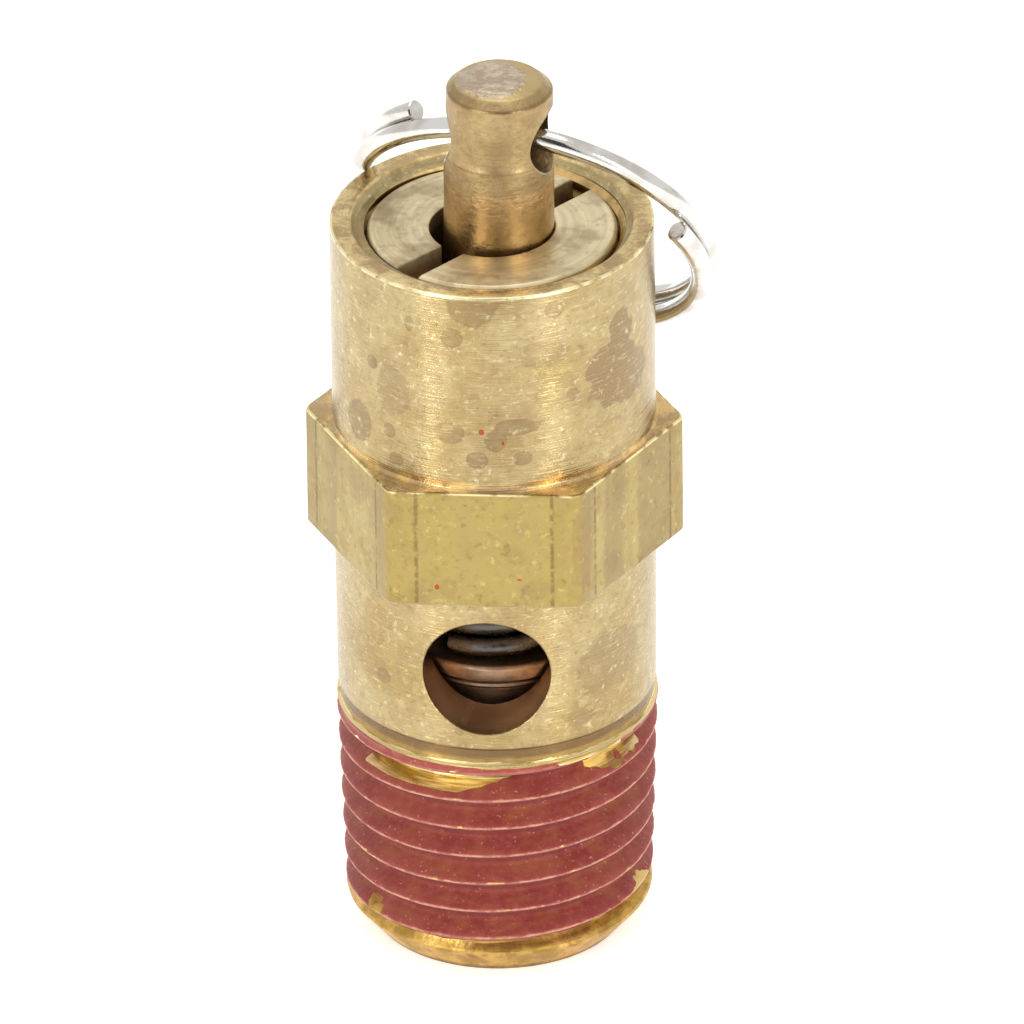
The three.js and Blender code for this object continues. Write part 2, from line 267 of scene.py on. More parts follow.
def thread_points(angle, bottom, top):
    """(radius, height, rise) of the brass up the thread in one column."""
    first_z = CREST_Z_FRONT + PITCH / 4
    turns = range(-THREAD_TURNS, THREAD_TURNS + 1)
    for z, rise in helix_heights(angle, first_z, PITCH, turns, THREAD_STEPS, bottom, top):
        radius = min(CREST_RADIUS + TAPER * z - thread_depth_at(rise, z), spigot_radius_at(z))
        yield radius, z, rise


def wrapped(outline_at):
    """The points (radius, height, ...) of an outline at each degree round the axis, as (x, y, z, ...)."""
    columns = []
    for i in range(COLUMNS + 1):
        angle = 2 * math.pi * i / COLUMNS
        columns.append([(p[0] * math.cos(angle), p[0] * math.sin(angle), *p[1:]) for p in outline_at(angle)])
    return np.array(columns)


# ---- the body ----
def hexagon_radius(angle):
    """The hexagon's radius in a direction, with its corners rounded as drawn bar has them."""
    fold = (angle - FACE_YAW) % (math.pi / 3) - math.pi / 6
    flat = HEX_APOTHEM / math.cos(fold)
    corner = HEX_APOTHEM / math.cos(math.pi / 6) - 0.1
    soft = 0.02
    return -soft * math.log(math.exp(-flat / soft) + math.exp(-corner / soft))


def barrel_rows(angle):
    """(radius, height, slot) from the neck up to the mouth. Slot 1 is the hexagon's sides."""
    hexagon = hexagon_radius(angle)
    below, above = LOWER_RADIUS + 0.06, UPPER_RADIUS
    rows = [(r, z, 0) for r, z in subdivided(rounded([
        (CREST_RADIUS + TAPER * THREAD_FADE[1], THREAD_FADE[1]), (NECK_RADIUS, THREAD_FADE[1] + 0.08),
        (NECK_RADIUS, LOWER_BOTTOM - 0.12), (LOWER_RADIUS, LOWER_BOTTOM), (below, HEX_BOTTOM - 0.12),
    ], 0.05, 3), 0.45)]
    edge = min(0.12, 0.4 * (hexagon - above))
    rows += [
        (below + edge * 0.3, HEX_BOTTOM - 0.02, 0), (below + edge, HEX_BOTTOM, 0),
        (hexagon - edge, HEX_BOTTOM, 0), (hexagon - edge * 0.3, HEX_BOTTOM + edge * 0.3, 0),
    ]
    rows += [(hexagon, z, 1) for z in np.linspace(HEX_BOTTOM + edge, HEX_TOP - edge, 12)]
    rows += [
        (hexagon - edge * 0.3, HEX_TOP - edge * 0.3, 1), (hexagon - edge, HEX_TOP, 0),
        (above + edge, HEX_TOP, 0), (above + edge * 0.3, HEX_TOP + edge * 0.4, 0),
        (above - 0.03, HEX_TOP + 0.14, 0), (above - 0.03, HEX_TOP + 0.3, 0), (above, HEX_TOP + 0.36, 0),
    ]
    rows += [(r, z, 0) for r, z in subdivided(rounded([
        (above, HEX_TOP + 0.5), (above, RIM_Z), (MOUTH_RADIUS, RIM_Z), (MOUTH_RADIUS - 0.3, RIM_Z - 0.34),
    ], 0.1, 3), 0.45)]
    return rows


def mouth_rows(angle):
    """(radius, height) down the screw thread in the mouth, then the plain bore, the chamber and the inlet."""
    pitch, crest, root = 25.4 / 32, 5.52, 5.8
    top, bottom = RIM_Z - 0.36, BORE_THREAD_BOTTOM
    steps = (0.34, 0.26, 0.06, -0.06, -0.26, -0.34)
    rows = [
        (crest + (root - crest) * min(max((abs(rise) - 0.06) / 0.2, 0), 1), z)
        for z, rise in helix_heights(angle, bottom, pitch, range(5, -2, -1), steps, bottom, top)
    ]
    rows += rounded([
        (root, bottom - 0.1), (SCREW_BORE, bottom - 0.3), (SCREW_BORE, CHAMBER_TOP + 0.8),
        (CHAMBER_RADIUS, CHAMBER_TOP), (CHAMBER_RADIUS, CHAMBER_FLOOR), (SEAT_FOOT_RADIUS, CHAMBER_FLOOR),
        (SEAT_RADIUS, SEAT_Z), (ORIFICE_RADIUS, SEAT_Z), (ORIFICE_RADIUS, ORIFICE_BOTTOM),
        (INLET_RADIUS, INLET_TOP), (INLET_RADIUS, 0.25), (INLET_RADIUS + 0.25, 0.0), (END_RADIUS - 0.05, 0.0),
    ], 0.08, 2)
    return rows


def valve_body(materials):
    def outline_at(angle):
        thread = [(r, z, 2) for r, z, _ in thread_points(angle, 0.0, THREAD_FADE[1])]
        return thread + barrel_rows(angle) + [(r, z, 3) for r, z in mouth_rows(angle)]
    skin = wrapped(outline_at)
    body = grid_piece("valve_body_machined", skin[:, :, :3], materials, close_columns=False, close_rows=True,
                      slots=skin[:-1, :, 3].ravel())
    place = Matrix.Translation((0, 0, DISCHARGE_Z * MM)) @ Matrix.Rotation(FACE_YAW, 4, "Z")
    cut(body, drill("discharge_drill", DISCHARGE_RADIUS, LOWER_RADIUS + 0.03, 0.05, place))
    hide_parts("valve_body")
    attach(body, "body")


# ---- the sealant ----
# Torn patches with no sealant: the middle and half size, as an angle in degrees and a height.
BARE_PATCHES = (
    (-44, 10.25, 11, 0.6), (-29, 10.1, 8, 0.4), (-58, 10.85, 10, 0.16), (-38, 1.95, 12, 0.3),
    (-22, 2.4, 7, 0.4), (-147, 2.2, 5, 0.18), (70, 10.2, 22, 0.40), (150, 9.6, 15, 0.30),
)
CLEAN_GROOVE = (-151, -106, -57)        # in degrees: where a wiped groove starts, narrows and ends
CLEAN_GROOVE_Z = CREST_Z_FRONT + 3.5 * PITCH
CLEAN_GROOVE_HALF = 0.46


def clean_groove(angle, z):
    """Above 0 where the last groove was wiped clean of sealant."""
    start, narrowing, end = CLEAN_GROOVE
    turn = (math.degrees(angle) + 180) % 360 - 180
    top = CLEAN_GROOVE_Z + CLEAN_GROOVE_HALF + PITCH * (turn + 90) / 360
    height = 2 * CLEAN_GROOVE_HALF * min(max((end - turn) / (end - narrowing), 0), 1)
    return min(top - z, z - (top - height), (turn - start) * 0.12)


def sealant_thickness(angle, rise, radius, z):
    """The dried paste's thickness over the brass. Where it's negative the brass shows."""
    place = Vector((radius * math.cos(angle), radius * math.sin(angle), z))
    lumps = noise.noise(place * 1.3) * 0.6 + noise.noise(place * 3.0) * 0.4
    chips = smooth(noise.noise(place * 1.9 + Vector((7, 3, 1))), 0.3, 0.55)
    paste = 0.035 + 0.012 * lumps
    root = THREAD_DEPTH - 0.16 + 0.05 * lumps
    paste = max(paste, thread_depth_at(rise, z) - root)
    crest = smooth(abs(rise), 0.12, 0.04)
    paste -= crest * (0.018 + 0.026 * chips + 0.02 * noise.noise(place * 5.0))
    around = Vector((math.cos(angle), math.sin(angle), 0))
    top = 10.96 + 0.05 * noise.noise(around * 9)
    bottom = 1.86 + 0.09 * noise.noise(around * 4) + 0.03 * noise.noise(around * 15)
    missing = max(smooth(z, top - 0.06, top + 0.06), smooth(z, bottom + 0.1, bottom - 0.1))
    missing = max(missing, smooth(clean_groove(angle, z) + 0.03 * lumps, -0.1, 0.1))
    for patch_angle, patch_z, half_angle, half_height in BARE_PATCHES:
        turn = (math.degrees(angle) - patch_angle + 180) % 360 - 180
        reach = math.hypot(turn / half_angle, (z - patch_z) / half_height) + 0.7 * lumps
        missing = max(missing, smooth(reach, 1.2, 0.8))
    return paste * (1 - missing) - 0.05 * missing


def thread_sealant(material):
    """The paste's skin, closed by a second skin that lies inside the brass."""
    bottom, inside = 1.6, 0.15
    def outline_at(angle):
        thread = list(thread_points(angle, bottom, THREAD_FADE[1]))
        outer = [(r + sealant_thickness(angle, rise, r, z), z) for r, z, rise in thread]
        return outer + [(r - inside, z) for r, z, _ in thread[::-1]]
    paste = grid_piece("thread_sealant_paste", wrapped(outline_at), [material], close_columns=False,
                       close_rows=True, sharp_angle=60)
    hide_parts("thread_sealant")
    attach(paste, "body")


# ---- the adjusting screw, stem and ring ----
def adjusting_screw(material):
    outline = rounded([
        (STEM_HOLE, SCREW_TOP - 2), (STEM_HOLE, SCREW_BOTTOM), (SCREW_RADIUS - 0.25, SCREW_BOTTOM),
        (SCREW_RADIUS, SCREW_BOTTOM + 0.3), (SCREW_RADIUS, SCREW_TOP - 0.14),
        (SCREW_RADIUS - 0.14, SCREW_TOP), (STEM_HOLE + 0.06, SCREW_TOP), (STEM_HOLE, SCREW_TOP - 0.06),
        (STEM_HOLE, SCREW_TOP - 1.9),
    ], 0.05, 3)
    screw = turned_piece("adjusting_screw_slotted", outline, [material], columns=180, ring=True)
    edge, length, high = 0.05, 2.2 * SCREW_RADIUS, 1.0
    half = SLOT_WIDTH / 2
    section = rounded([
        (0.0, -SLOT_DEPTH), (half, -SLOT_DEPTH), (half, -edge), (half + edge + high, high), (0.0, high),
    ], 0.12, 3)
    section += [(-y, z) for y, z in section[::-1]]
    ends = (-length, -length, length, length)
    points = [(x, y - SLOT_OFFSET, z + SCREW_TOP) for x in ends for y, z in section]
    points = np.array(points).reshape(4, len(section), 3)
    points[0] = points[0].mean(axis=0)
    points[3] = points[3].mean(axis=0)
    cutter = grid_piece("slot_cutter", points, [], close_columns=False, close_rows=True, flip=True)
    cutter.data.transform(Matrix.Rotation(SLOT_YAW, 4, "Z"))
    cut(screw, cutter)
    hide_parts("adjusting_screw")
    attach(screw, "screw")


def pull_stem(material):
    """The pin, turned upright on its foot and then leant over."""
    foot, shank = 2.3, STEM_SHANK_RADIUS
    outline = rounded([
        (0, STEM_FOOT_Z), (foot, STEM_FOOT_Z), (foot, STEM_FOOT_Z + 0.5), (shank, STEM_FOOT_Z + 0.65),
        (shank, 29.3), (STEM_RADIUS, 30.2), (STEM_RADIUS, STEM_RIDGE_Z),
        (STEM_HEAD_RADIUS + 0.01, STEM_RIDGE_Z + 0.2), (STEM_HEAD_RADIUS, STEM_BEVEL_Z),
        (1.86, STEM_TOP - 0.1), (1.2, STEM_TOP), (0, STEM_TOP),
    ], 0.1, 4)
    outline = subdivided([(radius, z - STEM_FOOT_Z) for radius, z in outline], 0.3)
    stem = turned_piece("pull_stem_turned", outline, [material], columns=144, wobble=0.018)
    turn = Matrix.Rotation(CROSS_HOLE_YAW + math.pi / 2, 4, "Z")
    place = Matrix.Translation((0, 0, (CROSS_HOLE_Z - STEM_FOOT_Z) * MM)) @ turn
    cut(stem, drill("cross_drill", CROSS_HOLE, STEM_HEAD_RADIUS + 0.03, 0.03, place, sides=72))
    lean_axis = Vector((-math.sin(STEM_LEAN_YAW), math.cos(STEM_LEAN_YAW), 0))
    lean = Matrix.Rotation(STEM_LEAN, 4, lean_axis)
    stem.data.transform(Matrix.Translation((0, 0, STEM_FOOT_Z * MM)) @ lean)
    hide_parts("pull_stem")
    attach(stem, "stem")


def pull_ring(material):
    steps = 420
    centres = []
    for k in range(steps + 1):
        angle = RING_START + (RING_END - RING_START) * k / steps
        centres.append((
            -RING_RADIUS * math.sin(angle),
            -RING_STEP * angle / (2 * math.pi),
            RING_RADIUS * (math.cos(angle) - 1),
        ))
    turn = Matrix.Rotation(RING_YAW, 3, "Z") @ Matrix.Rotation(RING_LEAN, 3, "X")
    centres = np.array(centres) @ np.array(turn).T + np.array(RING_CROSS)
    up = np.array(turn @ Vector((0, 1, 0)))
    ring = wire_piece("pull_ring_wire", centres, RING_WIRE, up, [material], sides=24)
    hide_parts("pull_ring")
    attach(ring, "ring")


# ---- the inside ----
def spring_centre(t):
    """The spring wire's middle, from the poppet at 0 to the washer at 1."""
    closed_rise = 2 * SPRING_WIRE + 0.06
    bottom, top = SPRING_BOTTOM + SPRING_WIRE + 0.03, SPRING_TOP - SPRING_WIRE - 0.03
    turn = t * (SPRING_ACTIVE_TURNS + 2 * SPRING_CLOSED_TURNS)
    active_rise = (top - bottom - 2 * SPRING_CLOSED_TURNS * closed_rise) / SPRING_ACTIVE_TURNS
    active = min(max(turn - SPRING_CLOSED_TURNS, 0), SPRING_ACTIVE_TURNS)
    z = bottom + (turn - active) * closed_rise + active * active_rise
    angle = SPRING_START + 2 * math.pi * turn
    return SPRING_RADIUS * math.cos(angle), SPRING_RADIUS * math.sin(angle), z


def valve_spring(material):
    """Two halves: the lower one from the poppet up to the middle, and the upper one on to the washer."""
    middle = spring_centre(0.5)[2]
    lower_span, upper_span = middle - SPRING_BOTTOM, SPRING_TOP - middle
    for name, start, end, joint, keep in (
        ("spring_lower_half", 0.0, 0.5, "stem_lift", 1 - STEM_LIFT / lower_span),
        ("spring_upper_half", 0.5, 1.0, "washer_travel", 1 - SCREW_TRAVEL / upper_span),
    ):
        steps = 240
        centres = [spring_centre(start + (end - start) * k / steps) for k in range(steps + 1)]
        half = wire_piece(name, centres, SPRING_WIRE, (0, 0, 1), [material], sides=16)
        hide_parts("valve_spring")
        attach(half, "body")
        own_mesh(half)


def poppet(material):
    outline = rounded([
        (POPPET_BORE, 14.6), (POPPET_BORE, 13.4), (2.65, 13.4), (2.65, DISC_TOP + 0.03),
        (DISC_RADIUS + 0.05, DISC_TOP + 0.03), (DISC_RADIUS + 0.05, POPPET_BOTTOM),
        (POPPET_SKIRT - 0.2, POPPET_BOTTOM), (POPPET_SKIRT, POPPET_BOTTOM + 0.2), (POPPET_SKIRT, 13.2),
        (3.98, 13.26), (3.9, 13.42), (POPPET_FLANGE, 13.62), (POPPET_FLANGE, SPRING_BOTTOM - 0.13),
        (POPPET_FLANGE - 0.12, SPRING_BOTTOM), (POPPET_HUB, SPRING_BOTTOM), (POPPET_HUB, POPPET_TOP - 0.3),
        (POPPET_HUB - 0.3, POPPET_TOP), (POPPET_BORE, POPPET_TOP), (POPPET_BORE, 14.7),
    ], 0.06, 3)
    piece = turned_piece("poppet_turned", outline, [material], columns=128, ring=True)
    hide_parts("poppet")
    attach(piece, "stem")


def seat_disc(material):
    corners = [(0, DISC_BOTTOM), (DISC_RADIUS, DISC_BOTTOM), (DISC_RADIUS, DISC_TOP), (0, DISC_TOP)]
    piece = turned_piece("seat_disc_moulded", rounded(corners, 0.12, 4), [material])
    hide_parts("seat_disc")
    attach(piece, "stem")


def spring_washer(material):
    outline = rounded([
        (WASHER_HOLE, SPRING_TOP + 0.4), (WASHER_HOLE, SPRING_TOP), (WASHER_RADIUS, SPRING_TOP),
        (WASHER_RADIUS, WASHER_TOP), (WASHER_HOLE, WASHER_TOP), (WASHER_HOLE, SPRING_TOP + 0.5),
    ], 0.1, 4)
    piece = turned_piece("spring_washer_stamped", outline, [material], ring=True)
    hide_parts("spring_washer")
    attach(piece, "washer")


# ---- materials ----
def rgb(red, green, blue):
    """A colour given as it looks on screen, 0 to 255, as Blender's linear colour."""
    def one(c):
        c /= 255
        return c / 12.92 if c <= 0.04045 else ((c + 0.055) / 1.055) ** 2.4
    return one(red), one(green), one(blue), 1.0


class Look:
    """A material whose nodes are added by short calls. Places are in millimetres in the valve's frame."""

    def __init__(self, name, metallic, **fixed):
        self.material = bpy.data.materials.new(name)
        self.material.use_nodes = True
        self.tree = self.material.node_tree
        self.shader = self.tree.nodes["Principled BSDF"]
        self.shader.inputs["Metallic"].default_value = metallic
        for socket, value in fixed.items():
            self.shader.inputs[socket.replace("_", " ")].default_value = value
        coordinates = self.tree.nodes.new("ShaderNodeTexCoord").outputs["Object"]
        self.place = self.vector("SCALE", coordinates, 1000)
        split = self.tree.nodes.new("ShaderNodeSeparateXYZ")
        self.tree.links.new(self.place, split.inputs[0])
        self.x, self.y, self.z = split.outputs
        self.radius = self.math("SQRT", self.plus(self.times(self.x, self.x), self.times(self.y, self.y)))
        self.angle = self.math("ARCTAN2", self.y, self.x)

    def put(self, value, socket):
        if isinstance(value, bpy.types.NodeSocket):
            self.tree.links.new(value, socket)
        else:
            socket.default_value = value

    def math(self, operation, *values):
        node = self.tree.nodes.new("ShaderNodeMath")
        node.operation = operation
        for value, socket in zip(values, node.inputs):
            self.put(value, socket)
        return node.outputs[0]

    def times(self, a, b):
        return self.math("MULTIPLY", a, b)

    def plus(self, a, b):
        return self.math("ADD", a, b)

    def minus(self, a, b):
        return self.math("SUBTRACT", a, b)

    def apart(self, a, b):
        return self.math("ABSOLUTE", self.minus(a, b))

    def vector(self, operation, a, b=None):
        node = self.tree.nodes.new("ShaderNodeVectorMath")
        node.operation = operation
        self.put(a, node.inputs[0])
        if operation == "LENGTH":
            return node.outputs["Value"]
        self.put(b, node.inputs["Scale"] if operation == "SCALE" else node.inputs[1])
        return node.outputs["Vector"]

    def combine(self, x, y, z):
        node = self.tree.nodes.new("ShaderNodeCombineXYZ")
        for value, socket in zip((x, y, z), node.inputs):
            self.put(value, socket)
        return node.outputs[0]

    def noise(self, scale, detail=4, rough=0.5, place=None):
        node = self.tree.nodes.new("ShaderNodeTexNoise")
        self.put(self.place if place is None else place, node.inputs["Vector"])
        node.inputs["Scale"].default_value = scale
        node.inputs["Detail"].default_value = detail
        node.inputs["Roughness"].default_value = rough
        return node.outputs["Fac"]

    def spots(self, place, scale):
        """(distance from a cell's point, a random number for each cell)."""
        node = self.tree.nodes.new("ShaderNodeTexVoronoi")
        self.put(place, node.inputs["Vector"])
        node.inputs["Scale"].default_value = scale
        split = self.tree.nodes.new("ShaderNodeSeparateColor")
        self.tree.links.new(node.outputs["Color"], split.inputs[0])
        return node.outputs["Distance"], split.outputs[0]

    def step(self, value, low, high, to_low=0.0, to_high=1.0):
        """Goes smoothly from to_low to to_high as the value goes from low to high."""
        node = self.tree.nodes.new("ShaderNodeMapRange")
        node.interpolation_type = "SMOOTHSTEP"
        self.put(value, node.inputs["Value"])
        if low > high:
            low, high, to_low, to_high = high, low, to_high, to_low
        for name, number in (("From Min", low), ("From Max", high), ("To Min", to_low), ("To Max", to_high)):
            node.inputs[name].default_value = number
        return node.outputs["Result"]

    def between(self, value, a, b, c, d):
        """Goes smoothly from 0 to 1 as the value goes from a to b, and back to 0 from c to d."""
        return self.times(self.step(value, a, b), self.step(value, d, c))

    def clouds(self, scale, low, high, to_low=0.0, to_high=1.0, detail=5, rough=0.7):
        """Noise with its contrast raised: to_low where it is under low, and to_high where it is over high."""
        return self.step(self.noise(scale, detail, rough), low, high, to_low, to_high)

    def mix(self, share, a, b):
        node = self.tree.nodes.new("ShaderNodeMix")
        node.data_type = "RGBA"
        self.put(share, node.inputs[0])
        self.put(a, node.inputs[6])
        self.put(b, node.inputs[7])
        return node.outputs[2]

    def tint(self, colour, other, where, share):
        """The colour, turned towards the other one by the given share wherever the third value is 1."""
        return self.mix(self.times(where, share), colour, other)

    def bump(self, height, distance, normal=None):
        """Raises the surface by the height times the distance, in millimetres."""
        node = self.tree.nodes.new("ShaderNodeBump")
        node.inputs["Distance"].default_value = distance * MM
        self.put(height, node.inputs["Height"])
        if normal is not None:
            self.put(normal, node.inputs["Normal"])
        return node.outputs[0]

    def finish(self, colour, roughness, normal=None):
        self.put(colour, self.shader.inputs["Base Color"])
        self.put(roughness, self.shader.inputs["Roughness"])
        if normal is not None:
            self.put(normal, self.shader.inputs["Normal"])
        return self.material


BRASS_PALE = rgb(180, 162, 118)
BRASS_GOLD = rgb(167, 144, 95)
BRASS_BRIGHT = rgb(212, 194, 142)
BRASS_STAIN = rgb(142, 120, 88)
BRASS_GREEN = rgb(166, 147, 87)
TARNISH = rgb(150, 112, 74)
BORE_BROWN = rgb(212, 178, 138)
BORE_DARK = rgb(168, 140, 110)
RED_SPECK = rgb(164, 58, 44)

# Marks on the body: the angle in degrees, the height, half the width and half the height of each.
# Dried drops, strong and faint stains on the cylinders, stains on the hexagon, and specks of sealant.
DROPS = (
    (-97.4, 34.2, 1.16, 1.34), (-104.6, 32.3, 0.5, 0.52), (-68, 33.5, 0.45, 0.42),
    (-121, 32.6, 0.22, 0.38), (-61, 29.1, 0.3, 0.3), (-138, 30.0, 0.33, 0.35),
    (-130, 27.0, 0.33, 0.36), (-127, 25.7, 0.42, 0.32), (-96.2, 26.35, 0.48, 0.42),
    (-89.5, 27.35, 0.5, 0.55), (-80, 26.4, 0.42, 0.36), (-82.5, 27.95, 1.0, 0.42),
    (-106, 27.6, 0.7, 0.55), (-146, 26.7, 0.9, 1.0), (-135, 14.5, 0.42, 0.4),
    (-104, 12.7, 0.2, 0.2),
)
BLOTCHES = ((-38, 31.1, 0.8, 1.2), (-43, 29.9, 1.5, 1.1), (-37, 28.8, 2.1, 1.2))
PATCHES = ((-44, 15.2, 2.0, 1.5), (-58, 12.9, 0.8, 0.4), (-128, 29.0, 0.9, 1.2), (-72, 31.4, 1.2, 0.7))
SMUDGES = ((-77, 20.0, 0.6, 0.5), (-106, 20.0, 0.4, 0.5), (-146, 23.6, 1.0, 1.0), (-62, 22.2, 0.5, 2.2))
SPECKS = ((-94.5, 27.75, 0.13, 0.15), (-87, 27.2, 0.07, 0.09), (-110, 20.1, 0.09, 0.14),
          (-82, 20.55, 0.1, 0.05))


def turning_marks(look, fineness=9.0):
    """Fine rings left by a lathe tool, round the axis on a side and in circles on an end."""
    place = look.combine(look.radius, look.times(look.angle, 0.12), look.z)
    return look.noise(fineness, detail=3, rough=0.75, place=place)


def marks(look, places, ragged):
    """(1 inside any of the ovals, 1 along their rims), as if the barrel were unrolled flat."""
    flat = look.combine(look.times(look.angle, UPPER_RADIUS), look.z, 0.0)
    warp = look.times(look.minus(look.noise(1.4), 0.5), ragged)
    nearest = None
    for angle, z, half_width, half_height in places:
        middle = (math.radians(angle) * UPPER_RADIUS, z, 0.0)
        offset = look.vector("SUBTRACT", flat, middle)
        scaled = look.vector("MULTIPLY", offset, (1 / half_width, 1 / half_height, 0.0))
        reach = look.vector("LENGTH", scaled)
        nearest = reach if nearest is None else look.math("MINIMUM", nearest, reach)
    nearest = look.plus(nearest, warp)
    inside = look.times(look.step(nearest, 1.05, 0.92), look.step(look.z, RIM_Z - 0.12, RIM_Z - 0.2))
    return inside, look.times(inside, look.step(nearest, 0.74, 0.95))


def scattered_drops(look, scale, share):
    """Dried drops where none are listed: 1 inside one, on about the given share of the cells."""
    drift = look.combine(look.noise(1.1, detail=3), look.noise(1.3, detail=3), 0.0)
    drifted = look.vector("ADD", look.place, look.vector("SCALE", drift, 0.5))
    distance, chance = look.spots(drifted, scale)
    edge = look.plus(0.12, look.times(look.noise(0.8, detail=3), 0.3))
    inside = look.step(look.minus(edge, distance), -0.02, 0.02)
    chosen = look.step(chance, 1 - share, 1 - share + 0.02)
    away = look.step(look.apart(look.angle, -math.pi / 2), 1.1, 1.3)
    upper = look.step(look.z, HEX_TOP - 0.3, HEX_TOP + 0.2)
    return look.times(look.times(inside, chosen), look.times(away, upper))


def rim_edges(look, colour):
    """The rim: warm and patchy gold, with a painted highlight along its outer edge, broken up in patches."""
    top = look.step(look.z, RIM_Z - 0.14, RIM_Z - 0.04)
    patchy = look.clouds(1.1, 0.4, 0.6)
    gold = look.mix(patchy, rgb(236, 212, 152), rgb(186, 157, 110))
    colour = look.tint(colour, gold, top, 0.75)
    # Painted highlight along the rim's outer edge, broken up in patches.
    edge = look.times(look.step(look.radius, UPPER_RADIUS - 0.16, UPPER_RADIUS - 0.08),
                      look.step(look.z, RIM_Z - 0.13, RIM_Z - 0.07))
    wear_and_highlight_patches = look.clouds(1.8, 0.36, 0.52, detail=4, rough=0.5)
    return look.tint(colour, rgb(250, 238, 196), look.times(edge, wear_and_highlight_patches), 0.8)


def hexagon_ledge_painted_glow(look, colour):
    """The hexagon's upper face and the groove above it, painted brighter and more orange than the cylinders:
    a painted reflection of the glow they catch.
    """
    ledge = look.between(look.z, HEX_TOP - 0.1, HEX_TOP - 0.02, HEX_TOP + 0.3, HEX_TOP + 0.5)
    patchy = look.clouds(0.5, 0.42, 0.56)
    orange = look.mix(patchy, rgb(246, 208, 132), rgb(196, 164, 118))
    return look.tint(colour, orange, ledge, 0.65)


def brass_wear(look, colour):
    """Clouds, dried drops, specks, scratches and painted glints over the turned brass, and the rim with a
    painted highlight on its outer edge: (colour, share of stain).
    """
    blush = look.clouds(0.5, 0.46, 0.68, rough=0.65)
    colour = look.tint(colour, BRASS_STAIN, blush, 0.35)
    mottle = look.clouds(1.8, 0.44, 0.68, detail=6, rough=0.75)
    colour = look.tint(colour, BRASS_STAIN, mottle, 0.38)
    pale = look.clouds(1.3, 0.54, 0.7, detail=6, rough=0.75)
    colour = look.tint(colour, BRASS_BRIGHT, pale, 0.45)
    patch = look.times(marks(look, PATCHES, 0.9)[0], 0.4)
    blotch = look.times(marks(look, BLOTCHES, 1.0)[0], 0.85)
    patch = look.math("MAXIMUM", patch, blotch)
    drop, rim = marks(look, DROPS, 0.45)
    stain = look.math("MAXIMUM", drop, scattered_drops(look, 0.6, 0.4))
    faded = look.clouds(1.7, 0.3, 0.7, 0.3, 0.75, detail=4, rough=0.5)
    colour = look.mix(look.math("MAXIMUM", patch, look.times(stain, faded)), colour, BRASS_STAIN)
    colour = look.tint(colour, TARNISH, rim, 0.3)
    fleck = look.clouds(3.6, 0.58, 0.68, rough=0.65)
    colour = look.tint(colour, TARNISH, fleck, 0.45)
    # Painted highlights: small bright flecks that stand in for glints of light.
    painted_glint = look.clouds(2.9, 0.58, 0.68)
    colour = look.tint(colour, rgb(240, 230, 190), painted_glint, 0.4)
    scratched = look.combine(look.times(look.angle, 1.4), 0.0, look.z)
    scratch = look.step(look.noise(6.0, rough=0.7, place=scratched), 0.56, 0.66)
    colour = look.tint(colour, rgb(238, 226, 184), scratch, 0.26)
    colour = rim_edges(look, colour)
    colour = look.tint(colour, RED_SPECK, marks(look, SPECKS, 0.3)[0], 0.85)
    return colour, stain


def neck_bands_painted_shade_highlight(look, colour):
    """The narrow neck over the thread: painted shade in brown under the lower cylinder's shoulder, then gold,
    then a painted highlight along its lower edge.
    """
    wobble = look.times(look.noise(3.0, place=look.combine(look.angle, 0.0, look.z)), 0.5)
    height = look.plus(look.z, look.minus(wobble, 0.25))
    gold = look.mix(look.noise(1.6), rgb(184, 150, 86), rgb(118, 94, 50))
    # Painted shade: brown under the lower cylinder's shoulder.
    band = look.mix(look.step(height, 11.25, 11.5), gold, rgb(112, 85, 58))
    # Painted highlight: a bright line along the neck's lower edge.
    band = look.mix(look.step(height, 11.16, 11.08), band, rgb(240, 218, 160))
    inside = look.between(look.z, 10.5, 10.8, LOWER_BOTTOM - 0.1, LOWER_BOTTOM + 0.12)
    return look.tint(colour, band, inside, 0.85)


def turned_brass():
    look = Look("turned_brass", 1.0, Anisotropic=0.9, Anisotropic_Rotation=0.25)
    cloud = look.noise(0.3)
    rings = turning_marks(look)
    colour, stain = brass_wear(look, look.mix(look.step(cloud, 0.35, 0.65), BRASS_GOLD, BRASS_PALE))
    height = look.combine(0.0, 0.0, look.z)
    tool = look.step(look.noise(3.2, detail=5, rough=0.8, place=height), 0.5, 0.68)
    colour = look.tint(colour, BRASS_STAIN, tool, 0.2)
    colour = hexagon_ledge_painted_glow(look, neck_bands_painted_shade_highlight(look, colour))
    # The walls of the discharge holes are browner than the outside.
    inward = look.step(look.radius, 6.8, 6.3)
    deep = look.between(look.z, 12.2, 12.6, 27.0, 31.0)
    brown = look.mix(look.noise(0.9, detail=5, rough=0.7), BORE_BROWN, BORE_DARK)
    colour = look.mix(look.times(inward, deep), colour, brown)
    rough = look.plus(look.step(cloud, 0.3, 0.7, 0.22, 0.27), look.times(stain, 0.08))
    scratch = look.noise(6.0, detail=6, place=look.combine(look.times(look.angle, 2.0), 0.0, look.z))
    dents = look.noise(1.5, rough=0.55)
    normal = look.bump(rings, 0.035)
    normal = look.bump(dents, 0.03, normal)
    normal = look.bump(scratch, 0.005, normal)
    return look.finish(colour, rough, normal)


